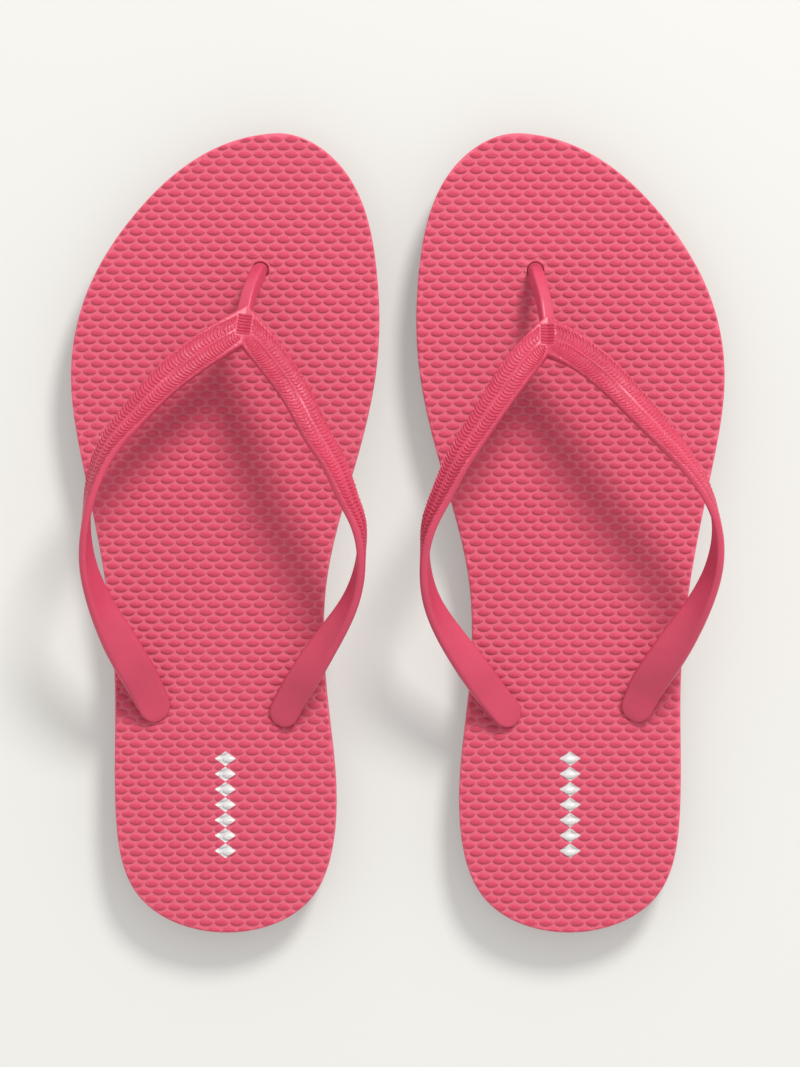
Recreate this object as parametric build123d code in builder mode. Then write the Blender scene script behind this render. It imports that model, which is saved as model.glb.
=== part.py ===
"""A pair of thong sandals: two foam soles, each of two bonded sheets, with a moulded Y-shaped strap plugged into each.

Frame: +X to the wearer's right, +Y towards the toes, +Z up. The origin is on the floor, midway between the two soles.
The right sandal is modelled, and the left one is its mirror image. Sizes are in millimetres.
"""

import os
from math import cos, radians, sin

from build123d import *

# Sole
SOLE_THICKNESS = 15.0
OUTSOLE_THICKNESS = 8.0
RIM_ROUND = 0.6
GROUND_ROUND = 1.0

# Outline of the right sole, from the tip of the toe down the outer side, round the heel and up the inner side
OUTLINE = [
    (39.5, 127.5),
    (62.0, 120.8),
    (84.5, 101.0),
    (99.5, 76.0),
    (104.3, 51.0),
    (100.6, 22.0),
    (93.6, -14.0),
    (90.3, -48.0),
    (90.1, -88.0),
    (83.0, -115.5),
    (56.5, -127.5),
    (27.5, -116.5),
    (19.8, -92.0),
    (22.6, -52.0),
    (22.6, -14.0),
    (14.4, 19.0),
    (6.9, 52.0),
    (7.0, 86.0),
    (18.0, 116.8),
]

# Tread: zigzag grooves across the underside, inside a plain rim and clear of the plugs
TREAD_RIM = 5.0
PLUG_LAND = 2.5
GROOVE_PITCH = 12.0
GROOVE_WIDTH = 2.2
GROOVE_DEPTH = 1.2
SHORTEST_GROOVE = 12.0
ZIGZAG_STEP = 9.0
ZIGZAG_RISE = 4.5

# Strap plugs: a post down through the sole, and a flange in a recess under it
POST_RADIUS = 2.4
POST_CLEARANCE = 0.1
FLANGE_RADIUS = 7.0
FLANGE_BOTTOM = 0.9
FLANGE_TOP = 3.5
RECESS_TOP = 3.6
RECESS_CLEARANCE = 0.4
TOE_HOLE = (43.9, 83.8)
LATERAL_HOLE = (77.5, -55.3)
MEDIAL_HOLE = (36.2, -57.2)
HOLES = [TOE_HOLE, LATERAL_HOLE, MEDIAL_HOLE]

# Stations along the middle of each strap arm, from its round rear end over a plug to just short of the knuckle:
# x, y, height over the footbed, roll (0 faces up, 90 faces outwards), width, thickness
LATERAL_ARM = [
    (75.9, -59.2, 2.8, 172, 3.4, 1.6),
    (76.5, -57.8, 3.0, 172, 7.2, 2.2),
    (*LATERAL_HOLE, 3.4, 171, 9.2, 2.4),
    (79.5, -50.2, 5.4, 170, 10.0, 2.6),
    (82.4, -43.9, 9.4, 165, 10.2, 2.7),
    (87.8, -33.8, 15.2, 149, 10.0, 2.8),
    (94.0, -21.2, 21.2, 124, 9.8, 2.9),
    (97.6, -8.5, 26.5, 105, 9.6, 2.9),
    (97.8, 4.0, 30.0, 89, 9.5, 2.9),
    (95.4, 16.3, 31.5, 70, 9.4, 2.8),
    (91.0, 27.0, 31.4, 52, 9.4, 2.8),
    (84.2, 35.7, 30.5, 37, 9.4, 2.7),
    (74.5, 46.5, 28.3, 17, 9.6, 2.7),
    (64.6, 55.1, 25.0, 8, 10.6, 2.8),
]
MEDIAL_ARM = [
    (38.2, -60.9, 2.8, 170, 3.4, 1.6),
    (37.5, -59.6, 3.0, 170, 7.2, 2.2),
    (*MEDIAL_HOLE, 3.4, 169, 9.2, 2.4),
    (33.5, -52.1, 5.4, 165, 9.6, 2.6),
    (29.6, -45.5, 9.2, 155, 9.8, 2.7),
    (22.4, -33.9, 14.6, 137, 9.8, 2.8),
    (14.9, -21.2, 20.4, 113, 9.7, 2.9),
    (11.7, -8.5, 25.4, 93, 9.6, 2.9),
    (12.8, 4.0, 28.7, 70, 9.5, 2.9),
    (15.5, 10.6, 29.8, 58, 9.4, 2.8),
    (20.6, 22.9, 30.5, 43, 9.4, 2.8),
    (24.6, 29.4, 30.3, 35, 9.4, 2.8),
    (31.0, 41.8, 28.5, 21, 9.6, 2.7),
    (39.0, 53.8, 24.4, 11, 10.2, 2.8),
]
CORNER_RATIO = 0.42

# Knuckle: the upright section where the two arms meet, lower at the front
KNUCKLE_CENTRE = (48.8, 65.6, 19.2)
KNUCKLE_LENGTH = 14.2
KNUCKLE_THICKNESS = 3.6
KNUCKLE_SLOPE = 18.0

# Stations along the toe post, from inside its hole to the knuckle:
# x, y, height over the footbed, lean back from upright, width, thickness
TOE_POST = [
    (*TOE_HOLE, -2.0, 0, 4.5, 4.5),
    (44.2, 83.1, 4.0, 12, 4.8, 4.6),
    (45.6, 79.6, 10.3, 32, 5.0, 4.3),
    (47.2, 75.0, 14.9, 52, 5.0, 3.7),
    (48.6, 69.0, 18.0, 70, 5.0, 2.8),
]
SIDE_POST_TOP = 3.2

# Printed motif on the heel: a row of lozenges along the sole
MOTIF_CENTRE = (55.0, -86.7)
MOTIF_COUNT = 7
MOTIF_PITCH = 4.9
LOZENGE_WIDTH = 6.6
LOZENGE_LENGTH = 4.0
PRINT_THICKNESS = 0.12


def sole_outline():
    """The edges of the right sole's outline."""
    with BuildLine() as outline:
        Spline(*OUTLINE, periodic=True)
    return outline.edges()


def zigzag(length):
    """The corners of one zigzag groove, starting at its left end."""
    count = int(length / ZIGZAG_STEP) + 1
    front = [(i * ZIGZAG_STEP, ZIGZAG_RISE * (i % 2)) for i in range(count + 1)]
    rear = [(x, y - GROOVE_WIDTH) for x, y in reversed(front)]
    return front + rear


def over_footbed(x, y, height):
    """A point at a height over the footbed's top face."""
    return Vector(x, y, SOLE_THICKNESS + height)


def arm_planes(stations, outward):
    """A plane at each station: z along the arm towards the knuckle, and x across it from its toe edge."""
    places = [over_footbed(*station[:3]) for station in stations]
    places.append(over_footbed(*KNUCKLE_CENTRE))
    planes = []
    for i, station in enumerate(stations):
        roll = radians(station[3])
        along = (places[i + 1] - places[max(i - 1, 0)]).normalized()
        side = along.cross(Vector(0, 0, 1)).normalized() * outward
        up = side.cross(along) * outward
        planes.append(Plane(places[i], x_dir=up * sin(roll) - side * cos(roll), z_dir=along))
    return planes


def band_section(plane, width, thickness):
    """One section face of the strap's band."""
    with BuildSketch(plane) as section:
        RectangleRounded(width, thickness, thickness * CORNER_RATIO)
    return section.sketch.face()


def band_sections():
    """The band's section faces, from the outer plug over the knuckle to the inner plug."""
    slope = radians(KNUCKLE_SLOPE)
    knuckle = Plane(over_footbed(*KNUCKLE_CENTRE), x_dir=(0, -cos(slope), sin(slope)), z_dir=(-1, 0, 0))
    lateral = arm_planes(LATERAL_ARM, 1)
    medial = [Plane(plane.origin, plane.x_dir, -plane.z_dir) for plane in arm_planes(MEDIAL_ARM, -1)]
    sections = [band_section(plane, *station[4:]) for plane, station in zip(lateral, LATERAL_ARM)]
    sections.append(band_section(knuckle, KNUCKLE_LENGTH, KNUCKLE_THICKNESS))
    sections += [band_section(plane, *station[4:]) for plane, station in zip(medial[::-1], MEDIAL_ARM[::-1])]
    return sections


def toe_post_sections():
    """The toe post's section faces, from the hole up."""
    back = (over_footbed(*TOE_POST[-1][:2], 0) - over_footbed(*TOE_HOLE, 0)).normalized()
    sections = []
    for x, y, height, lean, width, thickness in TOE_POST:
        along = Vector(0, 0, 1) * cos(radians(lean)) + back * sin(radians(lean))
        across = Vector(0, 0, 1).cross(back)
        with BuildSketch(Plane(over_footbed(x, y, height), x_dir=across, z_dir=along)) as section:
            Ellipse(width / 2, thickness / 2)
        sections.append(section.sketch.face())
    return sections


os.makedirs("parts", exist_ok=True)

with BuildPart() as right_footbed:
    with BuildSketch(Plane.XY.offset(OUTSOLE_THICKNESS)):
        make_face(sole_outline())
        with Locations(*HOLES):
            Circle(POST_RADIUS + POST_CLEARANCE, mode=Mode.SUBTRACT)
    extrude(amount=SOLE_THICKNESS - OUTSOLE_THICKNESS)
    fillet(right_footbed.edges().group_by(Axis.Z)[-1].sort_by(SortBy.LENGTH)[-1], RIM_ROUND)

with BuildPart() as right_outsole:
    with BuildSketch():
        make_face(sole_outline())
        with Locations(*HOLES):
            Circle(POST_RADIUS + POST_CLEARANCE, mode=Mode.SUBTRACT)
    extrude(amount=OUTSOLE_THICKNESS)
    fillet(right_outsole.edges().group_by(Axis.Z)[0].sort_by(SortBy.LENGTH)[-1], GROUND_ROUND)
    with BuildSketch():
        with Locations(*HOLES):
            Circle(FLANGE_RADIUS + RECESS_CLEARANCE)
    extrude(amount=RECESS_TOP, mode=Mode.SUBTRACT)
    with BuildSketch() as tread:
        box = right_outsole.part.bounding_box()
        with GridLocations(0, GROOVE_PITCH, 1, int(box.size.Y / GROOVE_PITCH)):
            with Locations((box.min.X, 0)):
                Polygon(*zigzag(box.size.X), align=None)
        with BuildSketch(mode=Mode.INTERSECT):
            Polygon(*OUTLINE, align=None)
            offset(amount=-TREAD_RIM, kind=Kind.INTERSECTION)
        with Locations(*HOLES):
            Circle(FLANGE_RADIUS + RECESS_CLEARANCE + PLUG_LAND, mode=Mode.SUBTRACT)
    grooves = tread.faces().filter_by(lambda face: face.area > SHORTEST_GROOVE * GROOVE_WIDTH)
    extrude(grooves, amount=GROOVE_DEPTH, mode=Mode.SUBTRACT)

with BuildPart() as right_strap:
    loft(band_sections())
    loft(toe_post_sections())
    with BuildSketch(Plane.XY.offset(FLANGE_TOP)):
        with Locations(LATERAL_HOLE, MEDIAL_HOLE):
            Circle(POST_RADIUS)
    extrude(amount=SOLE_THICKNESS + SIDE_POST_TOP - FLANGE_TOP)
    with BuildSketch(Plane.XY.offset(FLANGE_TOP)):
        with Locations(TOE_HOLE):
            Circle(POST_RADIUS)
    extrude(amount=SOLE_THICKNESS - FLANGE_TOP)
    with BuildSketch(Plane.XY.offset(FLANGE_BOTTOM)):
        with Locations(*HOLES):
            Circle(FLANGE_RADIUS)
    extrude(amount=FLANGE_TOP - FLANGE_BOTTOM)

with BuildPart() as right_heel_print:
    with BuildSketch(Plane.XY.offset(SOLE_THICKNESS)):
        with Locations(MOTIF_CENTRE):
            with GridLocations(0, MOTIF_PITCH, 1, MOTIF_COUNT):
                Polygon(
                    (LOZENGE_WIDTH / 2, 0),
                    (0, LOZENGE_LENGTH / 2),
                    (-LOZENGE_WIDTH / 2, 0),
                    (0, -LOZENGE_LENGTH / 2),
                )
    extrude(amount=PRINT_THICKNESS)

with BuildPart() as left_footbed:
    mirror(right_footbed.part, about=Plane.YZ)

with BuildPart() as left_outsole:
    mirror(right_outsole.part, about=Plane.YZ)

with BuildPart() as left_strap:
    mirror(right_strap.part, about=Plane.YZ)

with BuildPart() as left_heel_print:
    mirror(right_heel_print.part, about=Plane.YZ)

right_footbed.part.label = "right_footbed"
export_step(right_footbed.part, "parts/right_footbed.step")

right_outsole.part.label = "right_outsole"
export_step(right_outsole.part, "parts/right_outsole.step")

right_strap.part.label = "right_strap"
export_step(right_strap.part, "parts/right_strap.step")

right_heel_print.part.label = "right_heel_print"
export_step(right_heel_print.part, "parts/right_heel_print.step")

left_footbed.part.label = "left_footbed"
export_step(left_footbed.part, "parts/left_footbed.step")

left_outsole.part.label = "left_outsole"
export_step(left_outsole.part, "parts/left_outsole.step")

left_strap.part.label = "left_strap"
export_step(left_strap.part, "parts/left_strap.step")

left_heel_print.part.label = "left_heel_print"
export_step(left_heel_print.part, "parts/left_heel_print.step")
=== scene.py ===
"""Looks for a pair of flip flops: embossed foam soles, moulded straps, heel prints, floor and light.

The right sandal is built, and the left one is its mirror image, with its own emboss placement and
its own set of the strap.
Shapes are worked out in millimetres in the CAD frame, and turned into metres when a mesh is made.
"""

from math import cos, pi, radians, sin

import bmesh
import bpy
import numpy as np
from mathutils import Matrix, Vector
from mathutils.geometry import delaunay_2d_cdt
from mathutils.kdtree import KDTree


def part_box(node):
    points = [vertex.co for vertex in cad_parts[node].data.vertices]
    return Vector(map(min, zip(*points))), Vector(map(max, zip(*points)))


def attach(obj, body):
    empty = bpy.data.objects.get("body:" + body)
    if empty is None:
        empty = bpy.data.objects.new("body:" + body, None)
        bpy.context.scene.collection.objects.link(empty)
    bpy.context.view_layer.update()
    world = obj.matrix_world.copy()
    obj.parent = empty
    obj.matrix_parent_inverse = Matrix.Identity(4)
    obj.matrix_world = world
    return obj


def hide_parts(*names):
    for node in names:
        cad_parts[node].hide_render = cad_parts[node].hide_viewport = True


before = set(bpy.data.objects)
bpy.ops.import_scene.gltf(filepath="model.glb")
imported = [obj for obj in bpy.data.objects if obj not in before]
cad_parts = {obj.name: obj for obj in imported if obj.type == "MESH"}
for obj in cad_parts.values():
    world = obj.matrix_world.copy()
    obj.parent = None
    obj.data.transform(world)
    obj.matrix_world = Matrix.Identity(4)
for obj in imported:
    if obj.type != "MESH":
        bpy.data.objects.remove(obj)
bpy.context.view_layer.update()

MM = 0.001
WELD_DISTANCE = 2e-6
FLAT_TOLERANCE = 1e-5

# Sole
SOLE_TOP = 15.0
SEAM = 8.0
OUTLINE_STEP = 0.5
SHARP_ANGLE = 38.0
RIM_BEVEL = [(0.55, 0.0), (0.3, 0.07), (0.1, 0.24), (0.0, 0.5)]
WALL_TOP = 14.0
SEAM_BEVEL = [(0.0, 0.35), (0.1, 0.12), (0.3, 0.0)]
TOE_HOLE = (43.9, 83.8)
LATERAL_HOLE = (77.5, -55.3)
MEDIAL_HOLE = (36.2, -57.2)
HOLES = [TOE_HOLE, LATERAL_HOLE, MEDIAL_HOLE]
HOLE_RIM = [(3.15, 0.0), (2.85, 0.12), (2.65, 0.4), (2.58, 0.8)]
HOLE_POINTS = 36
DIMPLE_DEPTH = 0.35
DIMPLE_REACH = 2.0

# Emboss: raised lenses in staggered rows across the sole. A lens has a domed top inside LENS_WALL of
# its radius and a steep wall outside it. Its rings of points are a share of the radius and a count.
LENS_HEIGHT = 0.75
LENS_WALL_SHARE = 0.55
LENS_WALL = 0.87
LENS_UNEVENNESS = 0.06
LAND = SOLE_TOP - LENS_HEIGHT
LENS_PITCH = 4.95
ROW_PITCH = 2.475
LENS_HALF_LENGTH = 2.28
LENS_HALF_WIDTH = 1.14
LENS_TIP = 1.2
LENS_RINGS = [(1.0, 16), (LENS_WALL, 16), (0.74, 14), (0.4, 8)]
LENS_CENTRE = {"right": (30.02, 90.96), "left": (85.86, -99.5)}
LENS_MARGIN = 0.2
EDGE_CLEARANCE = 0.12

# Strap stations from the hole to the knuckle: x, y, height over the footbed, roll, width, thickness
LATERAL_ARM = [
    (*LATERAL_HOLE, 1.9, 172, 10.4, 2.0),
    (79.8, -50.2, 4.5, 172, 11.2, 2.4),
    (83.0, -43.9, 9.0, 170, 11.6, 2.6),
    (88.5, -33.8, 15.2, 157, 11.4, 2.6),
    (94.4, -21.2, 21.2, 131, 10.4, 2.5),
    (97.8, -8.5, 26.5, 110, 9.8, 2.4),
    (97.8, 4.0, 30.0, 89, 9.6, 2.4),
    (95.4, 16.3, 31.5, 69, 9.6, 2.3),
    (91.0, 27.0, 31.4, 50, 9.7, 2.3),
    (84.2, 35.7, 30.5, 35, 9.7, 2.3),
    (74.5, 46.5, 28.3, 16, 9.8, 2.5),
    (64.6, 55.1, 25.0, 8, 10.6, 2.8),
]
MEDIAL_ARM = [
    (*MEDIAL_HOLE, 1.9, 170, 9.8, 2.0),
    (33.5, -52.1, 4.5, 168, 10.2, 2.4),
    (29.6, -45.5, 8.8, 161, 10.6, 2.6),
    (22.2, -33.9, 14.6, 141, 10.4, 2.6),
    (14.8, -21.2, 20.4, 116, 9.9, 2.6),
    (11.7, -8.5, 25.4, 94, 9.6, 2.6),
    (12.8, 4.0, 28.7, 70, 9.6, 2.6),
    (15.5, 10.6, 29.8, 57, 9.5, 2.5),
    (20.6, 22.9, 30.5, 42, 9.6, 2.4),
    (24.6, 29.4, 30.3, 34, 9.6, 2.4),
    (31.0, 41.8, 28.5, 21, 9.6, 2.7),
    (39.0, 53.8, 24.4, 11, 10.2, 2.8),
]
# How far each station of the right sandal's strap lies in x from the left one's mirror image
RIGHT_LATERAL_SET = [-1.2, -1.3, -0.8, 0.2, 1.5, 2.3, 2.1, -0.7, -4.4, -5.4, -5.6, -5.4]
RIGHT_MEDIAL_SET = [-1.5, -3.0, -4.0, -4.8, -4.2, -3.1, -2.4, -2.3, -1.6, -1.6, 0.1, 0.4]
KNUCKLE_CENTRE = {"left": (48.5, 65.2, 19.2), "right": (47.3, 62.1, 19.2)}
KNUCKLE_TURN = {"left": 7.5, "right": 0.0}
KNUCKLE_LENGTH = 14.2
KNUCKLE_THICKNESS = 3.6
KNUCKLE_SLOPE = 18.0
CORNER_RATIO = 0.55
ROUND_CORNER_RATIO = 0.97
CORNER_TURNS = [70, 45, 18, -18, -45, -70]
CROWN = 0.25
OUTER_POINTS = 54
INNER_POINTS = 10
FINE_STEP = 0.2
COARSE_STEP = 0.8
FINE_REACH = 89.0
TAB_STEPS = 10
PAST_PATTERN = 1000.0

# Strap relief, in mm from the knuckle along the arm and from its middle across it
RIB_PITCH = 1.18
RIB_HEIGHT = 0.44
RIB_ROW = 2.5
RIB_HALF_LENGTH = 1.85
RIB_SLANT = 0.3
RIB_CURVE = 0.22
RIB_END = 80.0
RIB_FADE = 9.0
GRIT_HEIGHT = 0.07
LINE_HEIGHT = 0.36
LINE_WIDTH = 0.2
LINE_START = 5.0
LINE_RISE = 3.0
LINE_END = 34.0
LINE_FADE = 12.0
BEAD_HEIGHT = 0.26
BEAD_WIDTH = 0.27
BEAD_INSET = 0.62
TOE_BEAD_PITCH = 1.65
HEEL_BEAD_PITCH = 3.3
RIDGE_PITCH = 1.03
RIDGE_COUNT = 7
RIDGE_HEIGHT = 0.7
RIDGE_HALF_LENGTH = 2.2
RIDGE_SINK = 0.4
BLOCK_END = 3.8
KNUCKLE_REACH = 14.0

# Toe post: x, y, height over the footbed, lean back from upright, width, thickness
TOE_POST = [
    (*TOE_HOLE, -2.0, 0, 4.6, 4.6),
    (44.2, 83.1, 4.0, 12, 4.5, 4.6),
    (45.6, 79.6, 10.3, 32, 4.3, 4.4),
    (47.2, 75.0, 14.9, 52, 4.2, 4.0),
    (48.6, 69.0, 17.6, 66, 4.4, 3.2),
]
TOE_POST_ROLL = -30.0
TOE_POST_SQUARENESS = 0.62
TOE_POST_RINGS = 70
TOE_POST_SIDES = 40

# Plugs: the posts in the sole's holes and the flanges under them
POST_RADIUS = 2.4
FLANGE_RADIUS = 7.0
FLANGE_BOTTOM = 0.9
FLANGE_TOP = 3.5
TOE_PLUG_TOP = SOLE_TOP - 0.8
SIDE_PLUG_TOP = SOLE_TOP + 1.4
PLUG_SIDES = 64

# Heel print
MOTIF_CENTRE = (55.0, -86.7)
MOTIF_COUNT = 7
MOTIF_PITCH = 4.9
LOZENGE_WIDTH = 6.7
LOZENGE_LENGTH = 4.7
LOZENGE_SIDE_POINTS = 12
LOZENGE_RINGS = 14
PRINT_LIFT = 0.05

# Colours
# FOAM_DEEP_SHADE is painted shade over the footbed's lens bodies. FOAM_PALE_HIGHLIGHT is a painted highlight
# on the land between the lenses and on their lower walls, and it also tints the footbed's side walls.
FOAM_COLOUR = (0.71, 0.102, 0.174)
FOAM_DEEP_SHADE = (0.64, 0.064, 0.128)
FOAM_PALE_HIGHLIGHT = (0.78, 0.140, 0.218)
BOUNCE_COLOUR = (0.20, 0.05, 0.065)
STRAP_COLOUR = (0.65, 0.062, 0.130)
FOIL_COLOUR = (0.76, 0.75, 0.76)
FLOOR_COLOUR = (0.60, 0.60, 0.583)
FLOOR_GLOW_COLOUR = (1.0, 0.99, 0.96)
KEY_COLOUR = (1.0, 0.985, 0.95)
SURROUND_COLOUR = (1.0, 0.99, 0.965)

# Material detail, in features per metre, with bump depths in metres
FOAM_MOTTLE = 110
FOAM_GRAIN = 2600
FOAM_PORES = 1500
FOAM_GRAIN_DEPTH = 0.00002
FOAM_PORE_DEPTH = 0.00006
STRAP_CLOUDS = 90
STRAP_GRAIN = 1800
STRAP_MARKS = 420
STRAP_GRAIN_DEPTH = 0.000012
STRAP_MARK_DEPTH = 0.00005
FOIL_FLECKS = 1300
FOIL_CREASES = 2400
FOIL_CREASE_DEPTH = 0.00003
FLOOR_CLOUDS = 3.0

# Floor, light and camera, in metres
FLOOR_HALF_SIZE = 25.0
FLOOR_GLOW = 0.225
KEY_PLACE = (0.45 * 1.9, 0.95 * 1.9, 1.9)
KEY_SIZE = 0.76
KEY_POWER = 54
SURROUND_STRENGTH = 0.66
CAMERA_PLACE = (0.0007, -0.0002, 2.0)
CAMERA_LENS = 210
CAMERA_SENSOR_HEIGHT = 36


def spline(knots, values, at):
    """A natural cubic spline through values at knots, read at the places in at."""
    knots = np.asarray(knots, float)
    values = np.asarray(values, float)
    at = np.asarray(at, float)
    count = len(knots)
    gap = np.diff(knots)
    matrix = np.eye(count)
    right = np.zeros_like(values)
    for i in range(1, count - 1):
        matrix[i, i - 1] = gap[i - 1]
        matrix[i, i] = 2 * (gap[i - 1] + gap[i])
        matrix[i, i + 1] = gap[i]
        ahead = (values[i + 1] - values[i]) / gap[i]
        behind = (values[i] - values[i - 1]) / gap[i - 1]
        right[i] = 6 * (ahead - behind)
    bend = np.linalg.solve(matrix, right)
    k = np.clip(np.searchsorted(knots, at, side="right") - 1, 0, count - 2)
    far = ((at - knots[k]) / gap[k])[:, None]
    near = 1 - far
    curve = (near**3 - near) * bend[k] + (far**3 - far) * bend[k + 1]
    return near * values[k] + far * values[k + 1] + curve * (gap[k] ** 2)[:, None] / 6


def distances(points):
    """The length along a run of points up to each one."""
    return np.concatenate([[0.0], np.cumsum(np.linalg.norm(np.diff(points, axis=0), axis=1))])


def smooth(value, low, high):
    """A smooth step from 0 at low to 1 at high."""
    t = np.clip((value - low) / (high - low), 0, 1)
    return t * t * (3 - 2 * t)


def signed_power(value, power):
    """The size of a value raised to a power, with the value's own sign."""
    return np.sign(value) * np.abs(value) ** power


def sole_outline():
    """The right sole's outline in mm, anticlockwise, as closely spaced points and their inward directions."""
    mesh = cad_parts["right_footbed"].data
    mesh.calc_loop_triangles()
    corners = np.zeros(len(mesh.vertices) * 3, np.float32)
    mesh.vertices.foreach_get("co", corners)
    triangles = np.zeros(len(mesh.loop_triangles) * 3, np.int32)
    mesh.loop_triangles.foreach_get("vertices", triangles)
    places, merged = np.unique(np.round(corners.reshape(-1, 3) / MM, 3), axis=0, return_inverse=True)
    triangles = merged.reshape(-1)[triangles].reshape(-1, 3)
    low = places[:, 2] < SEAM + 0.01
    cap = triangles[low[triangles].all(axis=1)]
    edges = np.sort(cap[:, [[0, 1], [1, 2], [2, 0]]].reshape(-1, 2), axis=1)
    edges, uses = np.unique(edges, axis=0, return_counts=True)
    neighbours = {}
    for a, b in edges[uses == 1]:
        neighbours.setdefault(int(a), []).append(int(b))
        neighbours.setdefault(int(b), []).append(int(a))
    start = int(min(neighbours, key=lambda i: places[i, 1]))
    loop = [start, neighbours[start][0]]
    while True:
        a, b = neighbours[loop[-1]]
        following = b if a == loop[-2] else a
        if following == start:
            break
        loop.append(following)
    points = places[loop, :2]
    x, y = points.T
    if np.sum(x * np.roll(y, -1) - np.roll(x, -1) * y) < 0:
        points = points[::-1]
    wrap = 6
    around = np.vstack([points[-wrap:], points, points[: wrap + 1]])
    length = distances(around)
    first = length[wrap]
    last = length[wrap + len(points)]
    count = int((last - first) / OUTLINE_STEP)
    at = np.linspace(first, last, count, endpoint=False)
    points = spline(length, around, at)
    tangent = np.roll(points, -1, axis=0) - np.roll(points, 1, axis=0)
    tangent /= np.linalg.norm(tangent, axis=1)[:, None]
    inward = np.column_stack([-tangent[:, 1], tangent[:, 0]])
    return points, inward


def lens_radius(x, y, centre):
    """How far a place is from the middle of its nearest lens: 0 in the middle and 1 on the lens's edge."""
    row = np.round((y - centre[1]) / ROW_PITCH)
    across = x - centre[0] - (row % 2) * LENS_PITCH / 2
    across = across - np.round(across / LENS_PITCH) * LENS_PITCH
    along = np.abs(y - centre[1] - row * ROW_PITCH)
    return np.sqrt((across / LENS_HALF_LENGTH) ** 2 + (along / LENS_HALF_WIDTH) ** (2 / LENS_TIP))


def footbed_height(x, y, centre):
    """The embossed footbed's height at a place, in mm."""
    radius = lens_radius(x, y, centre)
    wander = np.sin(0.9 * x + 1.3 * y) * np.cos(0.7 * y - 0.4 * x)
    uneven = 1 - LENS_UNEVENNESS + LENS_UNEVENNESS * wander
    dome = 1 - (1 - LENS_WALL_SHARE) * (radius / LENS_WALL) ** 2
    wall = LENS_WALL_SHARE * (1 - radius) / (1 - LENS_WALL)
    height = LAND + LENS_HEIGHT * uneven * np.clip(np.minimum(dome, wall), 0, 1)
    from_hole = np.hypot(x - TOE_HOLE[0], y - TOE_HOLE[1]) - HOLE_RIM[0][0]
    return height - DIMPLE_DEPTH * np.exp(-((from_hole / DIMPLE_REACH) ** 2))


def circle(centre, radius, count):
    """Points round a circle."""
    turn = np.arange(count) * 2 * pi / count
    return np.column_stack([centre[0] + radius * np.cos(turn), centre[1] + radius * np.sin(turn)])


def ring_edges(start, count):
    """The edges of a closed ring of points."""
    return [(start + i, start + (i + 1) % count) for i in range(count)]


def border_and_holes(border, radius):
    """The points and edges of a border and of the three holes inside it, and how many points they are."""
    points = [border]
    edges = ring_edges(0, len(border))
    total = len(border)
    for hole in HOLES:
        points.append(circle(hole, radius, HOLE_POINTS))
        edges += ring_edges(total, HOLE_POINTS)
        total += HOLE_POINTS
    return points, edges, total


def flat_face(points, edges, radius):
    """Flat points joined into triangles along the given edges, with the three holes left open."""
    places = [Vector(p) for p in np.vstack(points)]
    edges = [(int(a), int(b)) for a, b in edges]
    corners, _, faces, _, _, _ = delaunay_2d_cdt(places, edges, [], 1, FLAT_TOLERANCE)
    corners = np.array([tuple(p) for p in corners])
    faces = np.array([face[:3] for face in faces])
    middles = corners[faces].mean(axis=1)
    keep = np.ones(len(faces), bool)
    for x, y in HOLES:
        keep &= np.hypot(middles[:, 0] - x, middles[:, 1] - y) > radius * 0.99
    return corners, faces[keep].tolist()


def lens_shape():
    """The points of one lens about its own middle, ring by ring and then the middle."""
    rings = []
    for i, (radius, count) in enumerate(LENS_RINGS):
        turn = (np.arange(count) + 0.5 * (i % 2)) * 2 * pi / count
        along = LENS_HALF_LENGTH * radius * np.cos(turn)
        across = LENS_HALF_WIDTH * radius**LENS_TIP * signed_power(np.sin(turn), LENS_TIP)
        rings.append(np.column_stack([along, across]))
    return np.vstack(rings + [np.zeros((1, 2))])


def steps(low, high, start, pitch):
    """The whole numbers of steps from start that reach just past low and high."""
    return range(int((low - start) / pitch) - 1, int((high - start) / pitch) + 2)


def lens_centres(centre):
    """The middles of all the lenses that could touch the right sole."""
    low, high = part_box("right_footbed")
    found = []
    for row in steps(low.y / MM, high.y / MM, centre[1], ROW_PITCH):
        shift = centre[0] + (row % 2) * LENS_PITCH / 2
        for column in steps(low.x / MM, high.x / MM, shift, LENS_PITCH):
            found.append((shift + column * LENS_PITCH, centre[1] + row * ROW_PITCH))
    return np.array(found)


def footbed_top(border, inward, centre):
    """The embossed top face inside the rim: its points and triangles."""
    tree = KDTree(len(border))
    for i, (x, y) in enumerate(border):
        tree.insert((x, y, 0), i)
    tree.balance()

    def depth(x, y):
        i = tree.find((x, y, 0))[1]
        inside = (x - border[i][0]) * inward[i][0] + (y - border[i][1]) * inward[i][1]
        return min([inside] + [np.hypot(x - hx, y - hy) - HOLE_RIM[0][0] for hx, hy in HOLES])

    points, edges, total = border_and_holes(border, HOLE_RIM[0][0])
    shape = lens_shape()
    outer_count, wall_count = LENS_RINGS[0][1], LENS_RINGS[1][1]
    lens_edges = ring_edges(0, outer_count) + ring_edges(outer_count, wall_count)
    reach = LENS_HALF_LENGTH + LENS_MARGIN
    for middle in lens_centres(centre):
        room = depth(*middle)
        if room < -reach:
            continue
        lens = shape + middle
        kept = np.ones(len(lens), bool)
        if room <= reach:
            kept = np.array([depth(*place) > EDGE_CLEARANCE for place in lens])
        places = total - 1 + np.cumsum(kept)
        edges += [(places[a], places[b]) for a, b in lens_edges if kept[a] and kept[b]]
        points.append(lens[kept])
        total += kept.sum()
    corners, faces = flat_face(points, edges, HOLE_RIM[0][0])
    return at_height(corners, footbed_height(corners[:, 0], corners[:, 1], centre)), faces


def sheath(rings):
    """The points and four-sided faces of a surface through closed rings of the same number of points."""
    rings = np.asarray(rings, float)
    rows, columns = rings.shape[:2]
    faces = []
    for row in range(rows - 1):
        for column in range(columns):
            a = row * columns + column
            b = row * columns + (column + 1) % columns
            faces.append((a, b, b + columns, a + columns))
    return rings.reshape(-1, 3), faces


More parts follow.
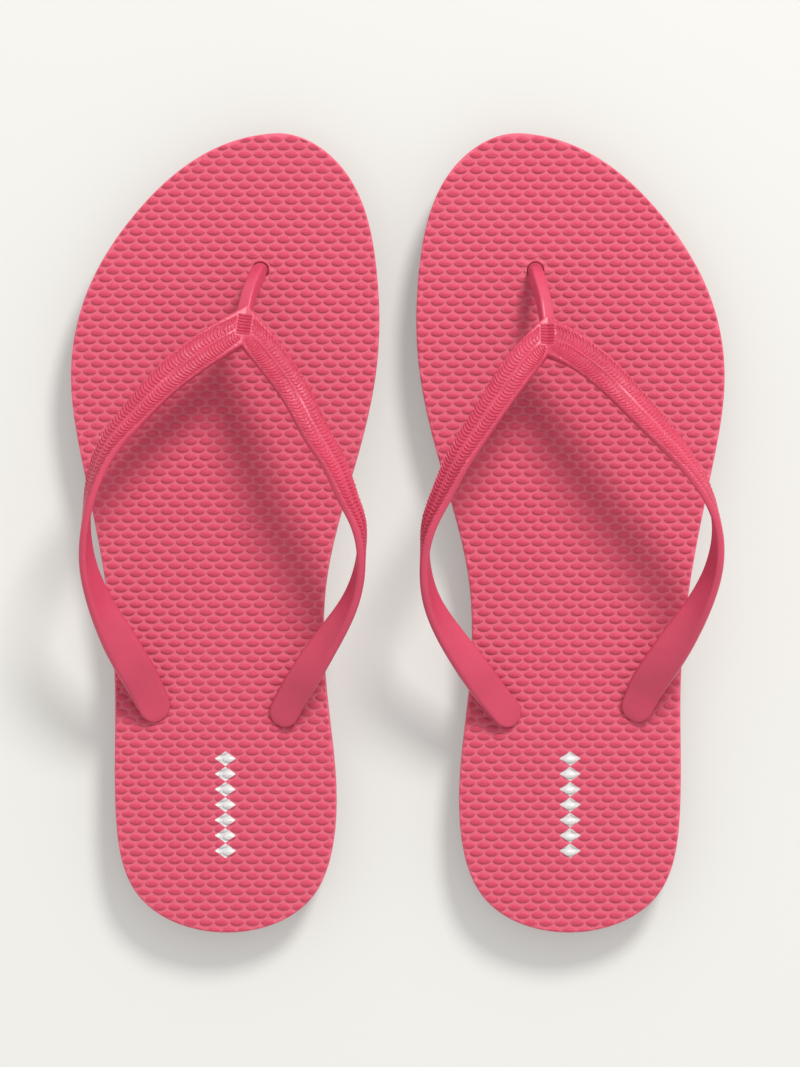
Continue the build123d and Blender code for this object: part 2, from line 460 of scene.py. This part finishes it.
def at_height(points, height):
    """Flat points with a height, which is one number or one for each point."""
    return np.column_stack([points, np.broadcast_to(height, len(points))])


def footbed_shells(centre):
    """The right footbed's shells: top face, rims, walls, holes and underside."""
    outline, inward = sole_outline()
    border = outline + inward * RIM_BEVEL[0][0]
    top = footbed_top(border, inward, centre)
    edge_height = footbed_height(border[:, 0], border[:, 1], centre)
    rings = []
    for inset, drop in RIM_BEVEL:
        share = drop / RIM_BEVEL[-1][1]
        height = (edge_height - drop) * (1 - share) + WALL_TOP * share
        rings.append(at_height(outline + inward * inset, height))
    for inset, rise in SEAM_BEVEL:
        rings.append(at_height(outline + inward * inset, SEAM + rise))
    shells = [top, sheath(rings)]
    bore = HOLE_RIM[-1][0]
    for hole in HOLES:
        rim = circle(hole, HOLE_RIM[0][0], HOLE_POINTS)
        rim_height = footbed_height(rim[:, 0], rim[:, 1], centre)
        hole_rings = []
        for radius, drop in HOLE_RIM:
            hole_rings.append(at_height(circle(hole, radius, HOLE_POINTS), rim_height - drop))
        hole_rings.append(at_height(circle(hole, bore, HOLE_POINTS), SEAM))
        shells.append(sheath(hole_rings))
    points, edges, _ = border_and_holes(rings[-1][:, :2], bore)
    corners, faces = flat_face(points, edges, bore)
    shells.append((at_height(corners, SEAM), faces))
    return shells


def over_footbed(x, y, height):
    """A point at a height over the top of the footbed."""
    return Vector((x, y, SOLE_TOP + height))


def station_frames(stations, shifts, outward, side_name):
    """The middle, half-width and half-thickness of the strap at each station of one arm."""
    places = [over_footbed(s[0] + shift, s[1], s[2]) for s, shift in zip(stations, shifts)]
    places.append(over_footbed(*KNUCKLE_CENTRE[side_name]))
    frames = []
    for i, station in enumerate(stations):
        roll = radians(station[3])
        along = (places[i + 1] - places[max(i - 1, 0)]).normalized()
        side = along.cross(Vector((0, 0, 1))).normalized() * outward
        up = side.cross(along) * outward
        across = up * sin(roll) - side * cos(roll)
        out = along.cross(across) * outward
        frames.append((places[i], across * station[4] / 2, out * station[5] / 2))
    return frames


def strap_frames(side_name):
    """The frames of the outer arm up to the knuckle, and of the inner arm from the knuckle back."""
    slope = radians(KNUCKLE_SLOPE)
    turn = radians(KNUCKLE_TURN[side_name])
    across = Vector((cos(slope) * sin(turn), -cos(slope) * cos(turn), sin(slope)))
    out = Vector((-cos(turn), -sin(turn), 0)).cross(across)
    centre = over_footbed(*KNUCKLE_CENTRE[side_name])
    knuckle = (centre, across * KNUCKLE_LENGTH / 2, out * KNUCKLE_THICKNESS / 2)
    right = side_name == "right"
    still = [0.0] * len(LATERAL_ARM)
    lateral = station_frames(LATERAL_ARM, RIGHT_LATERAL_SET if right else still, 1, side_name)
    medial = station_frames(MEDIAL_ARM, RIGHT_MEDIAL_SET if right else still, -1, side_name)
    return lateral + [knuckle], [knuckle] + medial[::-1]


def rib_rows(distance, across):
    """Two rows of close, slanted and curved ribs."""
    height = np.zeros(np.broadcast(distance, across).shape)
    for row in (-1, 1):
        place = across - row * RIB_ROW
        wave = distance + row * RIB_SLANT * place + RIB_CURVE * place**2
        window = smooth(RIB_HALF_LENGTH + 0.3 - np.abs(place), 0, 0.4)
        height += window * (smooth(np.cos(2 * pi * wave / RIB_PITCH), -0.6, 0.7) - 0.5)
    return RIB_HEIGHT * height


def grit(distance, across):
    """The fine unevenness of the strap's patterned part."""
    first = np.sin(8.3 * distance + 2.6 * np.sin(4.7 * across))
    second = np.sin(9.7 * across + 2.2 * np.sin(3.9 * distance))
    return GRIT_HEIGHT * first * second


def edge_beads(distance, across, edge, pitch):
    """A row of small beads along one edge of the strap."""
    beads = smooth(np.cos(2 * pi * distance / pitch), -0.1, 0.5)
    return BEAD_HEIGHT * beads * np.exp(-(((across - edge) / BEAD_WIDTH) ** 2))


def strap_relief(along, across, half_width):
    """The height of the moulded pattern on the strap's outer face, away from the knuckle's ridges."""
    distance = np.abs(along)
    line = LINE_HEIGHT * np.exp(-((across / LINE_WIDTH) ** 2))
    line = line * smooth(distance, LINE_START, LINE_START + LINE_RISE)
    line = line * (1 - smooth(distance, LINE_END - LINE_FADE, LINE_END))
    edge = half_width - BEAD_INSET
    pattern = rib_rows(distance, across) + grit(distance, across)
    pattern = pattern + edge_beads(distance, across, -edge, TOE_BEAD_PITCH)
    pattern = pattern + edge_beads(distance, across, edge, HEEL_BEAD_PITCH)
    reach = 1 - smooth(distance, RIB_END - RIB_FADE, RIB_END + RIB_FADE)
    return pattern * reach + line


def knuckle_ridges(places, knuckle):
    """The ridges across the knuckle, and where they leave no room for the strap's pattern."""
    centre, width, thick = (np.array(part) for part in knuckle)
    down = width / np.linalg.norm(width)
    aside = np.cross(down, thick / np.linalg.norm(thick))
    along = (places - centre) @ down
    away = np.abs((places - centre) @ aside)
    block = smooth(RIDGE_HALF_LENGTH + 0.2 - away, 0, 0.5)
    block = block * smooth(RIDGE_COUNT * RIDGE_PITCH / 2 - np.abs(along), 0, 0.3)
    waves = 0.5 + 0.5 * np.cos(2 * pi * along / RIDGE_PITCH)
    room = smooth(away, RIDGE_HALF_LENGTH + 0.2, RIDGE_HALF_LENGTH + 0.9)
    beyond = smooth(np.abs(along), BLOCK_END, BLOCK_END + 0.6) * smooth(away, 0.3, 1.0)
    return RIDGE_HEIGHT * (waves - RIDGE_SINK) * block, np.maximum(room, beyond)


def strap_profile(half_width, half_thickness, distance):
    """Places across and out from the middle, once round the band's section, and where its outer face is.

    The corners are crisp near the knuckle and get rounder towards the end of the pattern.
    """
    rounding = smooth(distance, RIB_END - 3 * RIB_FADE, RIB_END + RIB_FADE)
    corner = half_thickness * (CORNER_RATIO + (ROUND_CORNER_RATIO - CORNER_RATIO) * rounding)
    corner = min(corner, half_width)
    flat = half_width - corner
    outer = np.linspace(-1, 1, OUTER_POINTS)
    inner = np.linspace(1, -1, INNER_POINTS)
    turns = np.radians(CORNER_TURNS)
    side = flat + corner * np.cos(turns)
    drop = np.sign(turns) * (half_thickness - corner) + corner * np.sin(turns)
    fade = np.array([0.7, 0.3, 0, 0, 0, 0])
    across = np.concatenate([flat * outer, side, flat * inner, -side[::-1]])
    out = np.concatenate([
        np.full(OUTER_POINTS, half_thickness), drop,
        np.full(INNER_POINTS, -half_thickness), drop[::-1],
    ])
    face = np.concatenate([np.ones(OUTER_POINTS), fade, np.zeros(INNER_POINTS), fade[::-1]])
    return across, out, face


def arm_rows(frames, from_knuckle):
    """Close rows along one arm: middles, half-widths, half-thicknesses and distances from the knuckle."""
    middles = np.array([f[0] for f in frames])
    knots = distances(middles)
    length = knots[-1]
    fine = np.arange(0, FINE_REACH, FINE_STEP)
    coarse = np.linspace(FINE_REACH, length, int((length - FINE_REACH) / COARSE_STEP))
    at = np.concatenate([fine, coarse])
    if not from_knuckle:
        at = (length - at)[::-1]
    rows = [spline(knots, np.array([f[k] for f in frames]), at) for k in range(3)]
    away = at if from_knuckle else length - at
    return rows, away


def band_shell(side_name):
    """The strap's band, one closed shell with its relief and two rounded tabs."""
    lateral, medial = strap_frames(side_name)
    (centre_l, width_l, thick_l), away_l = arm_rows(lateral, False)
    (centre_m, width_m, thick_m), away_m = arm_rows(medial, True)
    centre = np.vstack([centre_l, centre_m[1:]])
    width = np.vstack([width_l, width_m[1:]])
    thick = np.vstack([thick_l, thick_m[1:]])
    along = np.concatenate([away_l, -away_m[1:]])
    knuckle = lateral[-1]
    rings = [band_ring(centre[i], width[i], thick[i], along[i], knuckle) for i in range(len(along))]
    front = tab_rings(centre[0], centre[0] - centre[1], width[0], thick[0])
    rear = tab_rings(centre[-1], centre[-1] - centre[-2], width[-1], thick[-1])
    return sheath(front[::-1] + rings + rear)


def band_ring(centre, width, thick, along, knuckle=None):
    """One ring of the band's section, with the relief on its outer face."""
    half_width = np.linalg.norm(width)
    half_thickness = np.linalg.norm(thick)
    across, out, face = strap_profile(half_width, half_thickness, abs(along))
    relief = strap_relief(along, across, half_width)
    if abs(along) < KNUCKLE_REACH:
        ridges, room = knuckle_ridges(centre + np.outer(across, width / half_width), knuckle)
        relief = relief * room + ridges
    relief = relief * face
    crown = CROWN * (1 - (across / half_width) ** 2) * face
    out = out + relief + crown
    return centre + np.outer(across, width / half_width) + np.outer(out, thick / half_thickness)


def tab_rings(centre, direction, width, thick):
    """Rings that round off the end of an arm beyond its post."""
    direction = direction / np.linalg.norm(direction)
    half_width = np.linalg.norm(width)
    rings = []
    for step in range(1, TAB_STEPS + 1):
        turn = step / TAB_STEPS * pi / 2
        shrink = max(cos(turn), 0.001)
        place = centre + direction * half_width * sin(turn)
        rings.append(band_ring(place, width * shrink, thick * shrink**0.5, PAST_PATTERN))
    return rings


def post_shell(side_name):
    """The toe post: round in its hole, and flat-topped with rounded edges above it."""
    places = np.array([(x, y, SOLE_TOP + h) for x, y, h, _, _, _ in TOE_POST])
    moved = np.subtract(KNUCKLE_CENTRE[side_name], KNUCKLE_CENTRE["left"])
    places = places + np.outer(np.linspace(0, 1, len(places)), moved)
    back = (places[-1] - places[0]) * (1, 1, 0)
    back /= np.linalg.norm(back)
    side = np.cross([0, 0, 1], back)
    knots = distances(places)
    at = np.linspace(0, knots[-1], TOE_POST_RINGS)
    middle = spline(knots, places, at)
    sizes = spline(knots, np.array([s[3:] for s in TOE_POST], float), at)
    turn = np.arange(TOE_POST_SIDES) * 2 * pi / TOE_POST_SIDES
    rings = []
    for place, (lean, width, thickness) in zip(middle, sizes):
        square = smooth(place[2] - SOLE_TOP, 0.5, 6.0)
        power = 1 - TOE_POST_SQUARENESS * square
        roll = radians(TOE_POST_ROLL) * square
        front = np.array([0, 0, 1]) * sin(radians(lean)) - back * cos(radians(lean))
        u = signed_power(np.cos(turn), power) * width / 2
        v = signed_power(np.sin(turn), power) * thickness / 2
        u, v = u * cos(roll) - v * sin(roll), u * sin(roll) + v * cos(roll)
        rings.append(place + np.outer(u, side) + np.outer(v, front))
    bottom = np.repeat(rings[0].mean(axis=0)[None], TOE_POST_SIDES, axis=0)
    top = np.repeat(rings[-1].mean(axis=0)[None], TOE_POST_SIDES, axis=0)
    return sheath([bottom] + rings + [top])


def turned_shell(centre, profile):
    """A closed shell turned about an upright line through centre, from radius and height pairs."""
    rings = []
    for radius, height in profile:
        rings.append(at_height(circle(centre, max(radius, 1e-4), PLUG_SIDES), height))
    return sheath(rings)


def plug_shells():
    """The three posts down through the sole and the rounded flanges under it."""
    flange = [
        (0.0, FLANGE_BOTTOM + 0.35),
        (1.1, FLANGE_BOTTOM + 0.35),
        (1.35, FLANGE_BOTTOM + 0.05),
        (FLANGE_RADIUS - 1.6, FLANGE_BOTTOM),
        (FLANGE_RADIUS - 0.5, FLANGE_BOTTOM + 0.25),
        (FLANGE_RADIUS, FLANGE_BOTTOM + 0.9),
        (FLANGE_RADIUS, FLANGE_TOP - 0.5),
        (FLANGE_RADIUS - 0.4, FLANGE_TOP),
        (POST_RADIUS + 0.3, FLANGE_TOP),
        (POST_RADIUS, FLANGE_TOP + 0.4),
    ]
    shells = []
    for hole in HOLES:
        top = TOE_PLUG_TOP if hole == TOE_HOLE else SIDE_PLUG_TOP
        shells.append(turned_shell(hole, flange + [(POST_RADIUS, top), (0.0, top)]))
    return shells


def lozenge_shells(centre):
    """The heel print: thin lozenges that follow the emboss."""
    shells = []
    corners = np.array([(0.5, 0), (0, 0.5), (-0.5, 0), (0, -0.5)]) * (LOZENGE_WIDTH, LOZENGE_LENGTH)
    ring = []
    for corner, following in zip(corners, np.roll(corners, -1, axis=0)):
        way = np.arange(LOZENGE_SIDE_POINTS)[:, None]
        ring.append(corner + (following - corner) * way / LOZENGE_SIDE_POINTS)
    ring = np.vstack(ring)
    for i in range(MOTIF_COUNT):
        middle = np.array(MOTIF_CENTRE) + (0, (i - (MOTIF_COUNT - 1) / 2) * MOTIF_PITCH)
        top = []
        for share in np.linspace(0.001, 1, LOZENGE_RINGS):
            flat = middle + ring * share
            top.append(at_height(flat, footbed_height(flat[:, 0], flat[:, 1], centre) + PRINT_LIFT))
        bottom = [points - (0, 0, 2 * PRINT_LIFT) for points in top]
        shells.append(sheath(top + bottom[::-1]))
    return shells


def make_piece(name, shells, side, material):
    """A mesh object from shells in mm on the right sandal, mirrored where it belongs to the left one."""
    points = []
    faces = []
    total = 0
    for corners, polygons in shells:
        points.append(corners)
        faces += [tuple(total + i for i in polygon) for polygon in polygons]
        total += len(corners)
    points = np.vstack(points) * MM
    if side == "left":
        points[:, 0] *= -1
    mesh = bpy.data.meshes.new(name)
    mesh.from_pydata(points.tolist(), [], faces)
    edit = bmesh.new()
    edit.from_mesh(mesh)
    bmesh.ops.remove_doubles(edit, verts=edit.verts, dist=WELD_DISTANCE)
    bmesh.ops.recalc_face_normals(edit, faces=edit.faces)
    for face in edit.faces:
        face.smooth = True
    edit.to_mesh(mesh)
    edit.free()
    mesh.set_sharp_from_angle(angle=radians(SHARP_ANGLE))
    mesh.materials.append(material)
    piece = bpy.data.objects.new(name, mesh)
    bpy.context.scene.collection.objects.link(piece)
    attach(piece, side + "_shoe")
    return piece


def new_material(name):
    """A node material: its nodes, its links and its main shader."""
    material = bpy.data.materials.new(name)
    material.use_nodes = True
    nodes = material.node_tree.nodes
    return material, nodes, material.node_tree.links, nodes["Principled BSDF"]


def noise(nodes, links, source, scale, detail=2.0, roughness=0.5):
    """A noise texture on the object's own coordinates; scale is in features per metre."""
    node = nodes.new("ShaderNodeTexNoise")
    node.inputs["Scale"].default_value = scale
    node.inputs["Detail"].default_value = detail
    node.inputs["Roughness"].default_value = roughness
    links.new(source, node.inputs["Vector"])
    return node.outputs["Fac"]


def ramp(nodes, links, source, stops):
    """A colour ramp through (place, colour) stops."""
    node = nodes.new("ShaderNodeValToRGB")
    elements = node.color_ramp.elements
    while len(elements) < len(stops):
        elements.new(0.5)
    for element, (place, colour) in zip(elements, stops):
        element.position = place
        element.color = (*colour, 1)
    links.new(source, node.inputs["Fac"])
    return node.outputs["Color"]


def spread(nodes, links, source, low, high, new_low, new_high):
    """A value stretched from one range to another."""
    node = nodes.new("ShaderNodeMapRange")
    node.inputs["From Min"].default_value = low
    node.inputs["From Max"].default_value = high
    node.inputs["To Min"].default_value = new_low
    node.inputs["To Max"].default_value = new_high
    links.new(source, node.inputs["Value"])
    return node.outputs["Result"]


def combine(nodes, links, kind, first, second):
    """A sum, product or other math of two values, each a socket or a number."""
    node = nodes.new("ShaderNodeMath")
    node.operation = kind
    for socket, value in zip(node.inputs, (first, second)):
        if isinstance(value, (int, float)):
            socket.default_value = value
        else:
            links.new(value, socket)
    return node.outputs[0]


def bump(nodes, links, source, distance, normal=None):
    """A bump of a height in metres, on top of another one."""
    node = nodes.new("ShaderNodeBump")
    node.inputs["Strength"].default_value = 1.0
    node.inputs["Distance"].default_value = distance
    links.new(source, node.inputs["Height"])
    if normal is not None:
        links.new(normal, node.inputs["Normal"])
    return node.outputs["Normal"]


def tint(colour, factor):
    """A colour made lighter or darker."""
    return tuple(channel * factor for channel in colour)


def calm_bounce(nodes, links, shader):
    """Weakens the pink light that this material throws on all that is near it, itself among them."""
    pale = nodes.new("ShaderNodeBsdfDiffuse")
    pale.inputs["Color"].default_value = (*BOUNCE_COLOUR, 1)
    choice = nodes.new("ShaderNodeMixShader")
    links.new(nodes.new("ShaderNodeLightPath").outputs["Is Diffuse Ray"], choice.inputs["Fac"])
    links.new(shader.outputs["BSDF"], choice.inputs[1])
    links.new(pale.outputs["BSDF"], choice.inputs[2])
    links.new(choice.outputs["Shader"], nodes["Material Output"].inputs["Surface"])


def foam_material(name, colours, skin):
    """Closed-cell foam: matt, with a painted highlight on the land between the lenses and on their lower
    walls, painted shade over the lens bodies, and pores that show most on its cut walls.
    """
    deep_shade, colour, pale = colours
    material, nodes, links, shader = new_material(name)
    place = nodes.new("ShaderNodeTexCoord").outputs["Object"]
    mottle = noise(nodes, links, place, FOAM_MOTTLE, 4.0, 0.6)
    grain = noise(nodes, links, place, FOAM_GRAIN)
    broad = spread(nodes, links, mottle, 0.3, 0.7, -0.06, 0.06)
    speckle = spread(nodes, links, grain, 0.3, 0.7, -0.1, 0.1)
    uneven = combine(nodes, links, "ADD", broad, speckle)
    height = nodes.new("ShaderNodeSeparateXYZ")
    links.new(place, height.inputs[0])
    lift = spread(nodes, links, height.outputs["Z"], LAND * MM, SOLE_TOP * MM, 0.1, 0.9)
    # Colour by height paints light and shade on the emboss. It is palest on the land and the lower lens walls
    # (painted highlight, a lit rim), deepest over the lens bodies (painted shade), and a little lighter again
    # at the very tops (painted highlight).
    stops = [(0.05, pale), (0.3, pale), (0.5, colour), (0.66, deep_shade), (0.78, deep_shade), (1.0, colour)]
    level = combine(nodes, links, "ADD", uneven, lift)
    links.new(ramp(nodes, links, level, stops), shader.inputs["Base Color"])
    pores = nodes.new("ShaderNodeTexVoronoi")
    pores.inputs["Scale"].default_value = FOAM_PORES
    links.new(place, pores.inputs["Vector"])
    cells = spread(nodes, links, pores.outputs["Distance"], 0.0, 0.5, 0.0, 1.0)
    split = nodes.new("ShaderNodeSeparateXYZ")
    links.new(nodes.new("ShaderNodeNewGeometry").outputs["Normal"], split.inputs[0])
    upright = combine(nodes, links, "ABSOLUTE", split.outputs["Z"], 0.0)
    wall = spread(nodes, links, upright, 0.35, 0.75, 1.0, skin)
    fine = bump(nodes, links, grain, FOAM_GRAIN_DEPTH)
    pits = combine(nodes, links, "MULTIPLY", cells, wall)
    links.new(bump(nodes, links, pits, FOAM_PORE_DEPTH, fine), shader.inputs["Normal"])
    links.new(spread(nodes, links, grain, 0.3, 0.7, 0.46, 0.62), shader.inputs["Roughness"])
    shader.inputs["Specular IOR Level"].default_value = 0.22
    calm_bounce(nodes, links, shader)
    return material


def strap_material():
    """Soft moulded plastic: satin, with faint flow marks and a fine skin."""
    material, nodes, links, shader = new_material("strap_plastic")
    place = nodes.new("ShaderNodeTexCoord").outputs["Object"]
    clouds = noise(nodes, links, place, STRAP_CLOUDS, 3.0, 0.55)
    grain = noise(nodes, links, place, STRAP_GRAIN, 3.0, 0.6)
    mix = combine(nodes, links, "ADD", combine(nodes, links, "MULTIPLY", clouds, 0.7),
                  combine(nodes, links, "MULTIPLY", grain, 0.3))
    stops = [(0.3, tint(STRAP_COLOUR, 0.92)), (0.5, STRAP_COLOUR), (0.72, tint(STRAP_COLOUR, 1.07))]
    links.new(ramp(nodes, links, mix, stops), shader.inputs["Base Color"])
    links.new(spread(nodes, links, clouds, 0.3, 0.7, 0.33, 0.45), shader.inputs["Roughness"])
    marks = noise(nodes, links, place, STRAP_MARKS)
    coarse = bump(nodes, links, marks, STRAP_MARK_DEPTH)
    links.new(bump(nodes, links, grain, STRAP_GRAIN_DEPTH, coarse), shader.inputs["Normal"])
    shader.inputs["Specular IOR Level"].default_value = 0.5
    return material


def print_material():
    """Silvery white foil, pressed on unevenly, with the foam showing through its worn flecks."""
    material, nodes, links, shader = new_material("print_foil")
    place = nodes.new("ShaderNodeTexCoord").outputs["Object"]
    flecks = noise(nodes, links, place, FOIL_FLECKS, 3.0, 0.7)
    stops = [(0.31, FOAM_COLOUR), (0.36, tint(FOIL_COLOUR, 0.9)), (0.56, FOIL_COLOUR)]
    links.new(ramp(nodes, links, flecks, stops), shader.inputs["Base Color"])
    links.new(spread(nodes, links, flecks, 0.3, 0.7, 0.5, 0.28), shader.inputs["Roughness"])
    links.new(spread(nodes, links, flecks, 0.34, 0.42, 0.0, 0.12), shader.inputs["Metallic"])
    creases = noise(nodes, links, place, FOIL_CREASES)
    links.new(bump(nodes, links, creases, FOIL_CREASE_DEPTH), shader.inputs["Normal"])
    return material


def floor_material():
    """Pale, matt, faintly uneven paper."""
    material, nodes, links, shader = new_material("floor_paper")
    place = nodes.new("ShaderNodeTexCoord").outputs["Object"]
    clouds = noise(nodes, links, place, FLOOR_CLOUDS)
    stops = [(0.35, tint(FLOOR_COLOUR, 0.995)), (0.65, tint(FLOOR_COLOUR, 1.005))]
    links.new(ramp(nodes, links, clouds, stops), shader.inputs["Base Color"])
    shader.inputs["Roughness"].default_value = 0.95
    shader.inputs["Specular IOR Level"].default_value = 0.1
    shader.inputs["Emission Color"].default_value = (*FLOOR_GLOW_COLOUR, 1)
    shader.inputs["Emission Strength"].default_value = FLOOR_GLOW
    return material


def make_floor():
    """A large pale floor."""
    mesh = bpy.data.meshes.new("floor")
    half = FLOOR_HALF_SIZE
    corners = [(-half, -half, 0), (half, -half, 0), (half, half, 0), (-half, half, 0)]
    mesh.from_pydata(corners, [], [(0, 1, 2, 3)])
    mesh.materials.append(floor_material())
    floor = bpy.data.objects.new("floor", mesh)
    bpy.context.scene.collection.objects.link(floor)


def make_key_light():
    """A soft round light from beyond the toes and to the right, aimed at the origin."""
    data = bpy.data.lights.new("key", "AREA")
    data.shape = "DISK"
    data.size = KEY_SIZE
    data.energy = KEY_POWER
    data.color = KEY_COLOUR
    light = bpy.data.objects.new("key", data)
    light.location = KEY_PLACE
    light.rotation_euler = (-Vector(KEY_PLACE)).to_track_quat("-Z", "Y").to_euler()
    light.visible_camera = False
    bpy.context.scene.collection.objects.link(light)


def make_surround():
    """An even pale surround."""
    world = bpy.data.worlds.new("surround")
    world.use_nodes = True
    background = world.node_tree.nodes["Background"]
    background.inputs["Color"].default_value = (*SURROUND_COLOUR, 1)
    background.inputs["Strength"].default_value = SURROUND_STRENGTH
    bpy.context.scene.world = world


def make_camera():
    """The camera straight above the pair."""
    data = bpy.data.cameras.new("camera")
    data.sensor_fit = "VERTICAL"
    data.sensor_height = CAMERA_SENSOR_HEIGHT
    data.lens = CAMERA_LENS
    data.clip_end = 100
    camera = bpy.data.objects.new("camera", data)
    camera.location = CAMERA_PLACE
    bpy.context.scene.collection.objects.link(camera)
    bpy.context.scene.camera = camera


def make_sandal(side, footbed_foam, outsole_foam, plastic, foil):
    """One sandal's footbed, strap and heel print, and the material of its outsole."""
    lens_centre = LENS_CENTRE[side]
    footbed = make_piece(side + "_footbed_foam", footbed_shells(lens_centre), side, footbed_foam)
    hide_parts(side + "_footbed")
    strap_shells = [band_shell(side), post_shell(side)] + plug_shells()
    strap = make_piece(side + "_strap_moulding", strap_shells, side, plastic)
    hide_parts(side + "_strap")
    heel_print = make_piece(side + "_heel_foil", lozenge_shells(lens_centre), side, foil)
    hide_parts(side + "_heel_print")
    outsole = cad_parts[side + "_outsole"]
    outsole.data.materials.clear()
    outsole.data.materials.append(outsole_foam)


bpy.context.scene.view_settings.view_transform = "Standard"
make_camera()
make_key_light()
make_surround()
make_floor()

materials = (
    foam_material("footbed_foam", (FOAM_DEEP_SHADE, FOAM_COLOUR, FOAM_PALE_HIGHLIGHT), 0.12),
    foam_material("outsole_foam", (FOAM_DEEP_SHADE, FOAM_DEEP_SHADE, FOAM_COLOUR), 0.35),
    strap_material(),
    print_material(),
)
for sandal in ("left", "right"):
    make_sandal(sandal, *materials)
